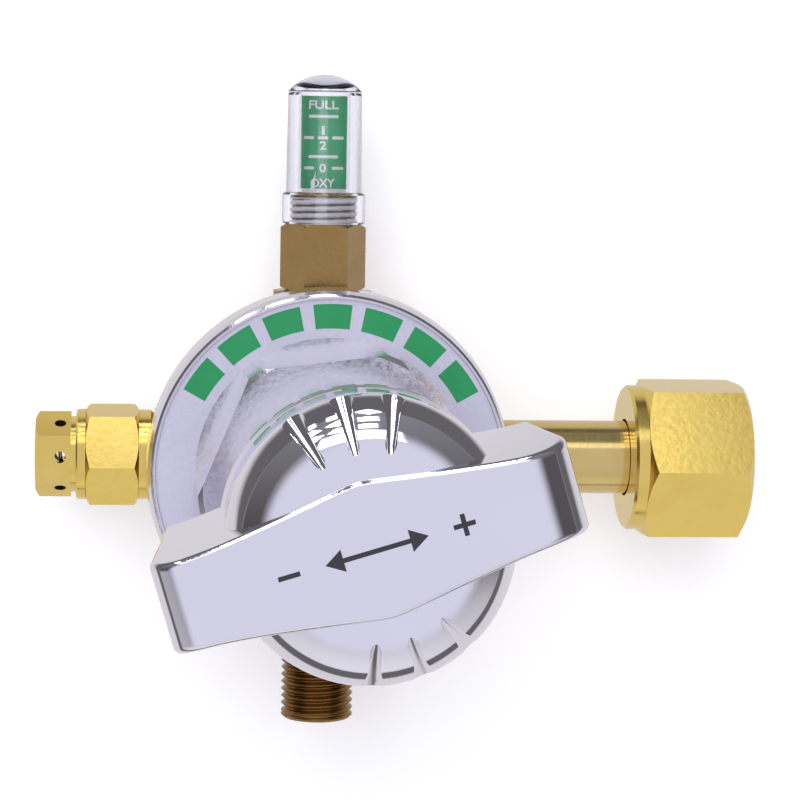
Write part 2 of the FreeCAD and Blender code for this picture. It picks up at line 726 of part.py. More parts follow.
# Printed strip that lines the rear of the lens bore
def makeScale():
    outer = lensBoreRadius - scaleGap
    inner = outer - scaleThickness
    tube = rodZ(scaleBottom, scaleTop, outer).cut(rodZ(scaleBottom - 1, scaleTop + 1, inner))
    reach = 3 * outer
    side = reach * math.sin(math.radians(scaleHalfAngle))
    back = reach * math.cos(math.radians(scaleHalfAngle))
    wedge = [Vector(0, 0, scaleBottom - 1), Vector(side, back, scaleBottom - 1),
             Vector(side, reach, scaleBottom - 1), Vector(-side, reach, scaleBottom - 1),
             Vector(-side, back, scaleBottom - 1), Vector(0, 0, scaleBottom - 1)]
    sector = Part.Face(Part.makePolygon(wedge)).extrude(Vector(0, 0, scaleTop - scaleBottom + 2))
    return tube.common(sector)


def makePointer():
    disc = rodZ(pointerDiscBottom, pointerDiscBottom + pointerDiscThickness, pointerDiscRadius)
    left = pointerBladeX - pointerBladeWidth / 2
    base = pointerDiscBottom + pointerDiscThickness / 2
    blade = [Vector(left, 0.6, base), Vector(left + pointerBladeWidth, 0.6, base),
             Vector(left + pointerBladeWidth * 1.3, 0.6, pointerTipHeight), Vector(left, 0.6, base)]
    fin = Part.Face(Part.makePolygon(blade)).extrude(Vector(0, -0.6, 0))
    return disc.fuse(fin).removeSplitter()


def makeOutlet():
    hexPart = hexBar("z", outletBossEnd, outletHexEnd, smallHexAf, outletHexAngle)
    tail = rodZ(outletThreadInner, outletBossEnd, outletThreadInnerRadius)
    spout = turnedZ([
        (outletHexEnd, 0), (outletHexEnd, outletReliefRadius), (outletReliefEnd, outletReliefRadius),
        (outletReliefEnd, outletThreadRadius), (outletEnd + outletEndChamfer, outletThreadRadius),
        (outletEnd, outletThreadRadius - outletEndChamfer), (outletEnd, 0)])
    bore = rodZ(outletThreadInner + 1, outletEnd - 1, outletBoreRadius)
    cone = turnedZ([
        (outletEnd - 0.01, 0), (outletEnd - 0.01, outletConeRadius),
        (outletEnd + outletConeDepth, outletBoreRadius - 0.01), (outletEnd + outletConeDepth, 0)])
    return hexPart.fuse([tail, spout]).removeSplitter().cut([bore, cone])


save(makeBody(), "body")
save(makeBonnet(), "bonnet")
save(makeLabel(), "bonnet_label")
save(makeDiaphragm(), "diaphragm")
save(makeSlipRing(), "slip_ring")
save(makePlate(), "diaphragm_plate")
save(makeAdjustingSpring(), "adjusting_spring")
save(makeButton(), "spring_button")
save(makeScrew(), "adjusting_screw")
save(makeHandle(), "handle")
save(makeNozzle(), "valve_nozzle")
save(makePoppet(), "valve_poppet")
save(makePoppetSpring(), "poppet_spring")
save(makePlug(), "rear_plug")
save(makePlugRing(), "plug_oring")
save(makeNipple(), "inlet_nipple")
save(makeFilter(), "inlet_filter")
save(makeNut(), "inlet_nut")
save(makeReliefBody(), "relief_body")
save(makeReliefCap(), "relief_cap")
save(makeReliefPoppet(), "relief_poppet")
save(makeReliefSpring(), "relief_spring")
save(makeGaugeHousing(), "indicator_housing")
save(makeGuide(), "indicator_guide")
save(makePiston(), "indicator_piston")
save(makePistonRing(), "indicator_oring")
save(makePistonSpring(), "indicator_spring")
save(makeLens(), "indicator_lens")
save(makeScale(), "indicator_scale")
save(makePointer(), "indicator_pointer")
save(makeOutlet(), "outlet_fitting")
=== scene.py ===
import bpy
import bmesh
import math
from mathutils import Matrix, Vector


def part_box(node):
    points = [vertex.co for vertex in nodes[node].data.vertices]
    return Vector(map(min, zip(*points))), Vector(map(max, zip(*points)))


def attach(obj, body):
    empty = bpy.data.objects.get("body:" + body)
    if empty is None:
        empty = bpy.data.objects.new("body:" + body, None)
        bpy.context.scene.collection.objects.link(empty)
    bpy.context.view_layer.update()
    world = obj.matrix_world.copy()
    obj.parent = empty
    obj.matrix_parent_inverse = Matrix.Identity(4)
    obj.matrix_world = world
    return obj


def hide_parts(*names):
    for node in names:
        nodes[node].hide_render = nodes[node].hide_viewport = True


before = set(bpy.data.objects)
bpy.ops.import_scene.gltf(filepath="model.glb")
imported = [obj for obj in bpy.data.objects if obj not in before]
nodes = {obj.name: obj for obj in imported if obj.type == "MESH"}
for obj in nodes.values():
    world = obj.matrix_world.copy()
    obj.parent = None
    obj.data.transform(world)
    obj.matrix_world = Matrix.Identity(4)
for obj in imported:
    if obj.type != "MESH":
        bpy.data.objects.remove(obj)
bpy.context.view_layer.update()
mm = 0.001
portX = -0.0705  # the port axes cross here, behind the inlet's nose
print("frame loaded:", len(nodes), "nodes")


# Shared effects

def groupWithSockets(name, inputs, outputs):
    group = bpy.data.node_groups.new(name, "ShaderNodeTree")
    for label, kind, value in inputs:
        socket = group.interface.new_socket(name=label, in_out="INPUT", socket_type=kind)
        socket.default_value = value
    for label, kind in outputs:
        group.interface.new_socket(name=label, in_out="OUTPUT", socket_type=kind)
    return group, group.nodes.new("NodeGroupInput"), group.nodes.new("NodeGroupOutput")


# Cloudy colour, uneven polish and a fine bumpy skin, stretched along one way for turned or drawn metal
def buildMetalSkin():
    group, given, result = groupWithSockets("metalSkin", [
        ("Light Colour", "NodeSocketColor", (0.8, 0.8, 0.8, 1)),
        ("Dark Colour", "NodeSocketColor", (0.6, 0.6, 0.6, 1)),
        ("Patch Scale", "NodeSocketFloat", 90.0),
        ("Grain Scale", "NodeSocketFloat", 1400.0),
        ("Stretch", "NodeSocketVector", (1, 1, 1)),
        ("Smooth", "NodeSocketFloat", 0.08),
        ("Rough", "NodeSocketFloat", 0.2),
        ("Bump", "NodeSocketFloat", 0.1)], [
        ("Colour", "NodeSocketColor"), ("Roughness", "NodeSocketFloat"), ("Normal", "NodeSocketVector")])
    add, link = group.nodes.new, group.links.new
    place = add("ShaderNodeTexCoord")
    stretch = add("ShaderNodeVectorMath")
    stretch.operation = "MULTIPLY"
    link(place.outputs["Object"], stretch.inputs[0])
    link(given.outputs["Stretch"], stretch.inputs[1])
    patches = add("ShaderNodeTexNoise")
    patches.inputs["Detail"].default_value = 5
    link(place.outputs["Object"], patches.inputs["Vector"])
    link(given.outputs["Patch Scale"], patches.inputs["Scale"])
    grain = add("ShaderNodeTexNoise")
    grain.inputs["Detail"].default_value = 3
    link(stretch.outputs[0], grain.inputs["Vector"])
    link(given.outputs["Grain Scale"], grain.inputs["Scale"])
    tint = add("ShaderNodeMix")
    tint.data_type = "RGBA"
    link(patches.outputs["Fac"], tint.inputs["Factor"])
    link(given.outputs["Dark Colour"], tint.inputs["A"])
    link(given.outputs["Light Colour"], tint.inputs["B"])
    blend = add("ShaderNodeMath")
    blend.operation = "MULTIPLY"
    link(patches.outputs["Fac"], blend.inputs[0])
    link(grain.outputs["Fac"], blend.inputs[1])
    polish = add("ShaderNodeMapRange")
    polish.inputs["From Min"].default_value = 0.12
    polish.inputs["From Max"].default_value = 0.42
    link(blend.outputs[0], polish.inputs["Value"])
    link(given.outputs["Smooth"], polish.inputs["To Min"])
    link(given.outputs["Rough"], polish.inputs["To Max"])
    skin = add("ShaderNodeBump")
    skin.inputs["Distance"].default_value = 0.0002
    link(grain.outputs["Fac"], skin.inputs["Height"])
    link(given.outputs["Bump"], skin.inputs["Strength"])
    link(tint.outputs["Result"], result.inputs["Colour"])
    link(polish.outputs["Result"], result.inputs["Roughness"])
    link(skin.outputs["Normal"], result.inputs["Normal"])
    return group


metalSkin = buildMetalSkin()


def makeMaterial(name, skin, metallic=0.0, sockets=None):
    material = bpy.data.materials.new(name)
    material.use_nodes = True
    tree = material.node_tree
    shader = tree.nodes["Principled BSDF"]
    shader.inputs["Metallic"].default_value = metallic
    for label, value in (sockets or {}).items():
        shader.inputs[label].default_value = value
    effect = tree.nodes.new("ShaderNodeGroup")
    effect.node_tree = metalSkin
    for label, value in skin.items():
        effect.inputs[label].default_value = value
    tree.links.new(effect.outputs["Colour"], shader.inputs["Base Color"])
    tree.links.new(effect.outputs["Roughness"], shader.inputs["Roughness"])
    tree.links.new(effect.outputs["Normal"], shader.inputs["Normal"])
    return material


def shades(light, dark):
    return {"Light Colour": (*light, 1), "Dark Colour": (*dark, 1)}


knobChrome = makeMaterial("knobChrome", {
    **shades((0.88, 0.87, 0.93), (0.82, 0.81, 0.88)), "Patch Scale": 60, "Grain Scale": 500,
    "Smooth": 0.03, "Rough": 0.10, "Bump": 0.025}, 1.0)
bonnetChrome = makeMaterial("bonnetChrome", {
    **shades((0.90, 0.89, 0.94), (0.76, 0.75, 0.81)), "Patch Scale": 110, "Grain Scale": 1100,
    "Smooth": 0.08, "Rough": 0.22, "Bump": 0.12}, 1.0)
brightBrass = makeMaterial("brightBrass", {
    **shades((0.92, 0.72, 0.21), (0.78, 0.55, 0.13)), "Patch Scale": 130, "Grain Scale": 900,
    "Smooth": 0.13, "Rough": 0.26, "Bump": 0.07}, 1.0)
turnedBrassX = makeMaterial("turnedBrassX", {
    **shades((0.80, 0.63, 0.27), (0.64, 0.47, 0.17)), "Patch Scale": 120, "Grain Scale": 420,
    "Stretch": (9, 0.4, 0.4), "Smooth": 0.12, "Rough": 0.24, "Bump": 0.06}, 1.0)
agedBrass = makeMaterial("agedBrass", {
    **shades((0.44, 0.29, 0.105), (0.30, 0.185, 0.065)), "Patch Scale": 160, "Grain Scale": 1300,
    "Smooth": 0.16, "Rough": 0.34, "Bump": 0.08}, 1.0)
darkThreadBrass = makeMaterial("darkThreadBrass", {
    **shades((0.33, 0.18, 0.055), (0.19, 0.095, 0.028)), "Patch Scale": 220, "Grain Scale": 1500,
    "Smooth": 0.18, "Rough": 0.38, "Bump": 0.12}, 1.0)
springSteel = makeMaterial("springSteel", {
    **shades((0.55, 0.55, 0.57), (0.40, 0.40, 0.42)), "Patch Scale": 150, "Grain Scale": 1200,
    "Smooth": 0.22, "Rough": 0.38, "Bump": 0.08}, 1.0)
porousBronze = makeMaterial("porousBronze", {
    **shades((0.50, 0.34, 0.16), (0.24, 0.15, 0.07)), "Patch Scale": 900, "Grain Scale": 2600,
    "Smooth": 0.55, "Rough": 0.80, "Bump": 0.9}, 1.0)
blackRubber = makeMaterial("blackRubber", {
    **shades((0.045, 0.045, 0.047), (0.020, 0.020, 0.021)), "Patch Scale": 200, "Grain Scale": 1700,
    "Smooth": 0.50, "Rough": 0.70, "Bump": 0.12})
ringFilm = makeMaterial("ringFilm", {
    **shades((0.57, 0.56, 0.68), (0.51, 0.50, 0.62)), "Patch Scale": 70, "Grain Scale": 900,
    "Smooth": 0.22, "Rough": 0.34, "Bump": 0.03}, 0.0, {"Coat Weight": 0.35})
greenInk = makeMaterial("greenInk", {
    **shades((0.012, 0.31, 0.10), (0.008, 0.25, 0.08)), "Patch Scale": 180, "Grain Scale": 1500,
    "Smooth": 0.28, "Rough": 0.42, "Bump": 0.03})
scaleGreen = makeMaterial("scaleGreen", {
    **shades((0.020, 0.42, 0.16), (0.014, 0.36, 0.13)), "Patch Scale": 260, "Grain Scale": 1800,
    "Smooth": 0.35, "Rough": 0.50, "Bump": 0.02})
whiteInk = makeMaterial("whiteInk", {
    **shades((0.90, 0.90, 0.92), (0.82, 0.82, 0.85)), "Patch Scale": 300, "Grain Scale": 1800,
    "Smooth": 0.35, "Rough": 0.50, "Bump": 0.02})
whitePlastic = makeMaterial("whitePlastic", {
    **shades((0.86, 0.86, 0.89), (0.76, 0.76, 0.80)), "Patch Scale": 250, "Grain Scale": 1500,
    "Smooth": 0.25, "Rough": 0.40, "Bump": 0.04})
darkFill = makeMaterial("darkFill", {
    **shades((0.035, 0.033, 0.045), (0.015, 0.014, 0.020)), "Patch Scale": 400, "Grain Scale": 1500,
    "Smooth": 0.35, "Rough": 0.55, "Bump": 0.08})
# Painted light for the neck thread under the clear lens: a pale painted highlight on the crests and painted
# shade in the grooves
paintedPaleCrests = makeMaterial("paintedPaleCrests", {
    **shades((0.66, 0.64, 0.70), (0.56, 0.54, 0.59)), "Patch Scale": 260, "Grain Scale": 1500,
    "Smooth": 0.20, "Rough": 0.38, "Bump": 0.05})
threadShadow = makeMaterial("threadShadow", {
    **shades((0.13, 0.10, 0.085), (0.06, 0.045, 0.04)), "Patch Scale": 420, "Grain Scale": 1500,
    "Smooth": 0.35, "Rough": 0.55, "Bump": 0.05})
clearLens = makeMaterial("clearLens", {
    **shades((0.96, 0.96, 0.98), (0.92, 0.92, 0.95)), "Patch Scale": 80, "Grain Scale": 350,
    "Smooth": 0.0, "Rough": 0.05, "Bump": 0.02}, 0.0, {"Transmission Weight": 1.0, "IOR": 1.49})
depthTint = clearLens.node_tree.nodes.new("ShaderNodeVolumeAbsorption")
depthTint.inputs["Color"].default_value = (0.16, 0.16, 0.30, 1)
depthTint.inputs["Density"].default_value = 48
lensOutput = clearLens.node_tree.nodes["Material Output"]
clearLens.node_tree.links.new(depthTint.outputs["Volume"], lensOutput.inputs["Volume"])
print("materials made")

finishes = {
    "body": agedBrass, "bonnet": bonnetChrome, "bonnet_label": ringFilm, "diaphragm": blackRubber,
    "slip_ring": agedBrass, "diaphragm_plate": agedBrass, "adjusting_spring": springSteel,
    "spring_button": springSteel, "adjusting_screw": springSteel, "handle": knobChrome,
    "valve_nozzle": brightBrass, "valve_poppet": agedBrass, "poppet_spring": springSteel,
    "rear_plug": brightBrass, "plug_oring": blackRubber, "inlet_nipple": turnedBrassX,
    "inlet_filter": porousBronze, "inlet_nut": brightBrass, "relief_body": brightBrass,
    "relief_cap": brightBrass, "relief_poppet": agedBrass, "relief_spring": springSteel,
    "indicator_housing": agedBrass, "indicator_guide": agedBrass, "indicator_piston": springSteel,
    "indicator_oring": blackRubber, "indicator_spring": springSteel, "indicator_lens": clearLens,
    "indicator_scale": scaleGreen, "indicator_pointer": whitePlastic, "outlet_fitting": darkThreadBrass}


def dress(piece, material):
    piece.data.materials.clear()
    piece.data.materials.append(material)


for nodeName, finish in finishes.items():
    dress(nodes[nodeName], finish)


# Mesh helpers

def pieceFromMesh(bm, name, material, body):
    mesh = bpy.data.meshes.new(name)
    bm.to_mesh(mesh)
    bm.free()
    piece = bpy.data.objects.new(name, mesh)
    bpy.context.scene.collection.objects.link(piece)
    mesh.materials.append(material)
    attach(piece, body)
    return piece


def sharpenEdges(bm, degrees):
    for face in bm.faces:
        face.smooth = True
    for edge in bm.edges:
        if len(edge.link_faces) == 2 and edge.calc_face_angle(0) > math.radians(degrees):
            edge.smooth = False


# Screw thread on a round surface: a V that winds along the axis and runs out at both ends
def addThread(bm, thread):
    rows = int((thread["end"] - thread["start"]) / thread["pitch"] * 12)
    around = thread["around"]
    grid = []
    grooves = []
    for row in range(rows + 1):
        along = thread["start"] + (thread["end"] - thread["start"]) * row / rows
        runOut = min(1, (along - thread["start"]) / thread["fade"], (thread["end"] - along) / thread["fade"])
        ring = []
        cuts = []
        for step in range(around):
            turn = 2 * math.pi * step / around
            phase = (along / thread["pitch"] - thread["hand"] * step / around) % 1
            groove = thread["depth"] * (1 - abs(2 * phase - 1)) * max(0, runOut)
            ring.append(bm.verts.new(thread["place"](along, thread["radius"] + thread["cut"] * groove, turn)))
            cuts.append(groove / thread["depth"])
        grid.append(ring)
        grooves.append(cuts)
    for lower, upper, cuts in zip(grid, grid[1:], grooves):
        for step in range(around):
            after = (step + 1) % around
            quad = (lower[step], lower[after], upper[after], upper[step])
            face = bm.faces.new(quad if thread["outward"] else quad[::-1])
            # Painted light: groove faces cut deeper than shadowFrom take the painted-shade material, the others
            # a pale painted highlight
            if "paintedLightAndShade" in thread:
                face.material_index = 2 if cuts[step] > thread["shadowFrom"] else 1


# Copy of a node with one plain round surface taken out and a real thread put there
def threadedCopy(nodeName, pieceName, thread, onSurface, body):
    bm = bmesh.new()
    bm.from_mesh(nodes[nodeName].data)
    for layer in list(bm.loops.layers.float_vector.values()):
        bm.loops.layers.float_vector.remove(layer)
    bmesh.ops.remove_doubles(bm, verts=bm.verts, dist=1e-6)
    plain = [face for face in bm.faces if all(onSurface(vert.co) for vert in face.verts)]
    bmesh.ops.delete(bm, geom=plain, context="FACES")
    addThread(bm, thread)
    sharpenEdges(bm, 28)
    piece = pieceFromMesh(bm, pieceName, finishes[nodeName], body)
    for paintedLightMaterial in thread.get("paintedLightAndShade", ()):
        piece.data.materials.append(paintedLightMaterial)
    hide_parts(nodeName)
    print(pieceName, "made,", len(plain), "plain faces replaced")
    return piece


def aroundZ(along, radius, turn):
    return Vector((portX + radius * math.cos(turn), radius * math.sin(turn), along))


def aroundX(along, radius, turn):
    return Vector((along, -radius * math.sin(turn), radius * math.cos(turn)))


def radiusAroundZ(point):
    return math.hypot(point.x - portX, point.y)


outletThread = {
    "start": -50.85 * mm, "end": -39.8 * mm, "radius": 7.0 * mm, "pitch": 25.4 / 18 * mm, "depth": 0.82 * mm,
    "fade": 0.9 * mm, "cut": -1, "hand": 1, "around": 72, "outward": True, "place": aroundZ}
threadedCopy(
    "outlet_fitting", "outletWithThread", outletThread,
    lambda p: abs(radiusAroundZ(p) - outletThread["radius"]) < 2e-5
    and outletThread["start"] - 1e-5 < p.z < outletThread["end"] + 1e-5,
    "regulator")

# The neck's thread carries painted light: a pale painted highlight on the crests and painted shade in the
# grooves
neckThread = {
    "start": 44.96 * mm, "end": 50.0 * mm, "radius": 6.6 * mm, "pitch": 25.4 / 20 * mm, "depth": 0.6 * mm,
    "fade": 0.5 * mm, "cut": -1, "hand": 1, "around": 64, "outward": True, "place": aroundZ,
    "paintedLightAndShade": (paintedPaleCrests, threadShadow), "shadowFrom": 0.62}
threadedCopy(
    "indicator_housing", "indicatorWithThread", neckThread,
    lambda p: abs(radiusAroundZ(p) - neckThread["radius"]) < 2e-5
    and neckThread["start"] - 1e-5 < p.z < neckThread["end"] + 1e-5,
    "regulator")

nutThread = {
    "start": -2.55 * mm, "end": 11.4 * mm, "radius": 10.47 * mm, "pitch": 25.4 / 14 * mm, "depth": 1.0 * mm,
    "fade": 0.8 * mm, "cut": 1, "hand": -1, "around": 72, "outward": False, "place": aroundX}
threadedCopy(
    "inlet_nut", "nutWithThread", nutThread,
    lambda p: abs(math.hypot(p.y, p.z) - nutThread["radius"]) < 2e-5
    and nutThread["start"] - 1e-4 < p.x < nutThread["end"] + 1e-4,
    "coupling_nut")


# Printed ring: seven plain green arcs, all alike
ringPrint = {
    "inner": 26.6, "outer": 31.1, "front": 28.15, "ink": 0.03, "lift": 0.002,
    "count": 7, "first": 153.0, "last": 27.0, "gap": 4.6}


def addArcBlock(bm, inner, outer, front, back, start, end, steps=14):
    corners = ((inner, front), (outer, front), (outer, back), (inner, back))
    rings = []
    for step in range(steps + 1):
        turn = math.radians(start + (end - start) * step / steps)
        across, up = math.cos(turn) * mm, math.sin(turn) * mm
        rings.append([
            bm.verts.new((portX + radius * across, -depth * mm, radius * up)) for radius, depth in corners])
    for one, two in zip(rings, rings[1:]):
        for side in range(4):
            after = (side + 1) % 4
            bm.faces.new((one[side], one[after], two[after], two[side]))
    bm.faces.new(rings[0][::-1])
    bm.faces.new(rings[-1])


def makeRingPrint():
    bm = bmesh.new()
    share = (ringPrint["last"] - ringPrint["first"]) / ringPrint["count"]
    for block in range(ringPrint["count"]):
        start = ringPrint["first"] + share * block - ringPrint["gap"] / 2
        end = ringPrint["first"] + share * (block + 1) + ringPrint["gap"] / 2
        addArcBlock(bm, ringPrint["inner"], ringPrint["outer"], ringPrint["front"] + ringPrint["ink"],
                    ringPrint["front"] + ringPrint["lift"], start, end)
    bmesh.ops.recalc_face_normals(bm, faces=bm.faces)
    sharpenEdges(bm, 28)
    return pieceFromMesh(bm, "ringPrint", greenInk, "regulator")


makeRingPrint()
print("ring print made")


# Plain turning mark on the wing: a bar with a point at each end, a minus and a plus
wingMark = {
    "front": 124.0, "ink": 0.04, "lift": 0.002, "tilt": 16.8, "half": 8.0, "thick": 0.75,
    "point": 2.8, "pointHalf": 0.62, "sign": 13.6, "signHalf": 1.7}


def addFlatShape(bm, outline):
    turn = math.radians(wingMark["tilt"])
    across, up = math.cos(turn), math.sin(turn)
    layers = []
    for depth in (wingMark["front"] + wingMark["ink"], wingMark["front"] + wingMark["lift"]):
        layers.append([
            bm.verts.new((portX + (u * across - v * up) * mm, -depth * mm, (u * up + v * across) * mm))
            for u, v in outline])
    front, back = layers
    bm.faces.new(front)
    bm.faces.new(back[::-1])
    for step in range(len(outline)):
        after = (step + 1) % len(outline)
        bm.faces.new((front[step], back[step], back[after], front[after]))


def makeWingMark():
    bm = bmesh.new()
    half, thick, point = wingMark["half"], wingMark["thick"] / 2, wingMark["point"]
    neck = half - point
    wide = point * wingMark["pointHalf"]
    addFlatShape(bm, [(-half, 0), (-neck, -wide), (-neck, -thick), (neck, -thick), (neck, -wide),
                      (half, 0), (neck, wide), (neck, thick), (-neck, thick), (-neck, wide)])
    sign, arm = wingMark["sign"], wingMark["signHalf"]
    addFlatShape(bm, [(-sign - arm, -thick), (-sign + arm, -thick), (-sign + arm, thick), (-sign - arm, thick)])
    addFlatShape(bm, [
        (sign - arm, -thick), (sign - thick, -thick), (sign - thick, -arm), (sign + thick, -arm),
        (sign + thick, -thick), (sign + arm, -thick), (sign + arm, thick), (sign + thick, thick),
        (sign + thick, arm), (sign - thick, arm), (sign - thick, thick), (sign - arm, thick)])
    bmesh.ops.recalc_face_normals(bm, faces=bm.faces)
    return pieceFromMesh(bm, "wingMark", darkFill, "knob")


makeWingMark()
print("wing mark made")


# Scale print: words and bars laid on the curved strip, upright as seen from the front
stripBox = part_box("indicator_scale")
scalePrint = {
    "radius": (stripBox[1].y - 0.0002) - 0.00006, "ink": 0.00003,
    # word, height, width and tallness in mm, boldness in m
    "words": (("FULL", 67.75, 6.3, 1.7, 0.00006), ("1", 62.8, 0.65, 1.7, 0.00001),
              ("2", 59.9, 1.4, 1.7, 0.00006), ("0", 55.55, 1.4, 1.7, 0.00006),
              ("OXY", 52.65, 5.2, 1.75, 0.00006)),
    # middle, height and half length
    "bars": ((0.0, 65.5, 3.1), (0.0, 57.75, 3.1), (0.0, 61.4, 1.1), (-3.05, 61.4, 1.1), (3.05, 61.4, 1.1),
             (-2.95, 55.55, 1.1), (3.05, 55.55, 1.1)),
    "barHalf": 0.29}


def onStrip(u, v, lift):
    radius = scalePrint["radius"] - lift
    u = max(-radius * 0.98, min(radius * 0.98, u))
    return Vector((portX + u, math.sqrt(radius * radius - u * u), v))


def addStripBar(bm, middle, height, half):
    steps = 10
    rings = []
    for step in range(steps + 1):
        u = (middle - half + 2 * half * step / steps) * mm
        low, high = (height - scalePrint["barHalf"]) * mm, (height + scalePrint["barHalf"]) * mm
        rings.append([bm.verts.new(onStrip(u, v, lift)) for v, lift in (
            (low, scalePrint["ink"]), (high, scalePrint["ink"]), (high, 0), (low, 0))])
    for one, two in zip(rings, rings[1:]):
        for side in range(4):
            after = (side + 1) % 4
            bm.faces.new((one[side], one[after], two[after], two[side]))
    bm.faces.new(rings[0][::-1])
    bm.faces.new(rings[-1])


def addStripWord(bm, word, height, width, tall, bold):
    curve = bpy.data.curves.new("word", "FONT")
    curve.body = word
    curve.align_x = "CENTER"
    curve.align_y = "CENTER"
    curve.size = tall * 1.4 * mm
    curve.offset = bold
    curve.extrude = scalePrint["ink"] / 2
    helper = bpy.data.objects.new("word", curve)
    bpy.context.scene.collection.objects.link(helper)
    bpy.context.view_layer.update()
    mesh = bpy.data.meshes.new_from_object(helper.evaluated_get(bpy.context.evaluated_depsgraph_get()))
    across = [vert.co.x for vert in mesh.vertices]
    upward = [vert.co.y for vert in mesh.vertices]
    stretch = width * mm / (max(across) - min(across))
    raiseBy = tall * mm / (max(upward) - min(upward))
    for vert in mesh.vertices:
        u = (vert.co.x - (max(across) + min(across)) / 2) * stretch
        v = (vert.co.y - (max(upward) + min(upward)) / 2) * raiseBy
        vert.co = onStrip(u, v + height * mm, vert.co.z + scalePrint["ink"] / 2)
    bm.from_mesh(mesh)
    bpy.data.objects.remove(helper)
    bpy.data.curves.remove(curve)
    bpy.data.meshes.remove(mesh)


def makeScalePrint():
    bm = bmesh.new()
    for middle, height, half in scalePrint["bars"]:
        addStripBar(bm, middle, height, half)
    for word, height, width, tall, bold in scalePrint["words"]:
        addStripWord(bm, word, height, width, tall, bold)
    bmesh.ops.recalc_face_normals(bm, faces=bm.faces)
    return pieceFromMesh(bm, "scalePrint", whiteInk, "regulator")


makeScalePrint()
print("scale print made")


# Pale surface that the part lies on, seen through from behind. Reflections see a painted glow in its place,
# bright below and dim far up
backdrop = {
    "depth": 0.0228, "half": 1.6, "glow": 0.36, "shade": 0.78, "flatten": 0.45, "below": -0.12,
    "near": 0.165, "far": 0.255, "reflectedNear": 0.74, "reflectedFar": 0.14, "reflectedTint": (1, 0.97, 1, 1)}


def makeBackdrop():
    half = backdrop["half"]
    mesh = bpy.data.meshes.new("paleSurface")
    corners = [(portX - half, -half), (portX + half, -half), (portX + half, half), (portX - half, half)]
    mesh.from_pydata([(x, backdrop["depth"], z) for x, z in corners], [], [(0, 1, 2, 3)])
    sheet = bpy.data.objects.new("paleSurface", mesh)
    bpy.context.scene.collection.objects.link(sheet)
    material = bpy.data.materials.new("palePaper")
    material.use_nodes = True
    tree = material.node_tree
    tree.nodes.clear()
    add, link = tree.nodes.new, tree.links.new
    paper = add("ShaderNodeBsdfDiffuse")
    paper.inputs["Color"].default_value = (backdrop["shade"], backdrop["shade"], backdrop["shade"] * 1.01, 1)
    glow = add("ShaderNodeEmission")
    glow.inputs["Color"].default_value = (1, 1, 1, 1)
    glow.inputs["Strength"].default_value = backdrop["glow"]
    both = add("ShaderNodeAddShader")
    link(paper.outputs[0], both.inputs[0])
    link(glow.outputs[0], both.inputs[1])
    place = add("ShaderNodeTexCoord")
    squeeze = add("ShaderNodeVectorMath")
    squeeze.operation = "MULTIPLY"
    squeeze.inputs[1].default_value = (backdrop["flatten"], 0, 1)
    link(place.outputs["Object"], squeeze.inputs[0])
    away = add("ShaderNodeVectorMath")
    away.operation = "DISTANCE"
    away.inputs[1].default_value = (portX * backdrop["flatten"], 0, backdrop["below"])
    link(squeeze.outputs["Vector"], away.inputs[0])
    fade = add("ShaderNodeMapRange")
    fade.interpolation_type = "SMOOTHSTEP"
    fade.inputs["From Min"].default_value = backdrop["near"]
    fade.inputs["From Max"].default_value = backdrop["far"]
    fade.inputs["To Min"].default_value = backdrop["reflectedNear"]
    fade.inputs["To Max"].default_value = backdrop["reflectedFar"]
    link(away.outputs["Value"], fade.inputs["Value"])
    # Painted reflection: an emission, strongest near a point below the part and fading farther out, shown to
    # reflections instead of the lit paper
    paintedReflectionGlow = add("ShaderNodeEmission")
    paintedReflectionGlow.inputs["Color"].default_value = backdrop["reflectedTint"]
    link(fade.outputs["Result"], paintedReflectionGlow.inputs["Strength"])
    path = add("ShaderNodeLightPath")
    mirrored = add("ShaderNodeMath")
    mirrored.operation = "SUBTRACT"
    mirrored.use_clamp = True
    link(path.outputs["Is Glossy Ray"], mirrored.inputs[0])
    link(path.outputs["Is Transmission Ray"], mirrored.inputs[1])
    seen = add("ShaderNodeMixShader")
    link(mirrored.outputs[0], seen.inputs[0])
    link(both.outputs[0], seen.inputs[1])
    link(paintedReflectionGlow.outputs[0], seen.inputs[2])
    clear = add("ShaderNodeBsdfTransparent")
    side = add("ShaderNodeNewGeometry")
    choose = add("ShaderNodeMixShader")
    link(side.outputs["Backfacing"], choose.inputs[0])
    link(seen.outputs[0], choose.inputs[1])
    link(clear.outputs[0], choose.inputs[2])
    out = add("ShaderNodeOutputMaterial")
    link(choose.outputs[0], out.inputs["Surface"])
    sheet.data.materials.append(material)


makeBackdrop()


# Studio: white for the camera and through the clear lens.
# Reflections see a lilac-white front, darker sides, a grey ceiling and a bright floor
room = {
    "front": (0.76, 0.75, 0.86), "behind": (0.34, 0.33, 0.35), "frontFrom": -0.50, "frontTo": -0.84,
    "behindFrom": 0.02, "behindTo": 0.12,
    "sides": ((0.00, (0.84, 0.83, 0.87)), (0.24, (0.56, 0.55, 0.58)), (0.40, (0.16, 0.15, 0.15)),
              (0.50, (0.085, 0.08, 0.08)), (0.62, (0.12, 0.115, 0.12)), (1.00, (0.25, 0.245, 0.26)))}


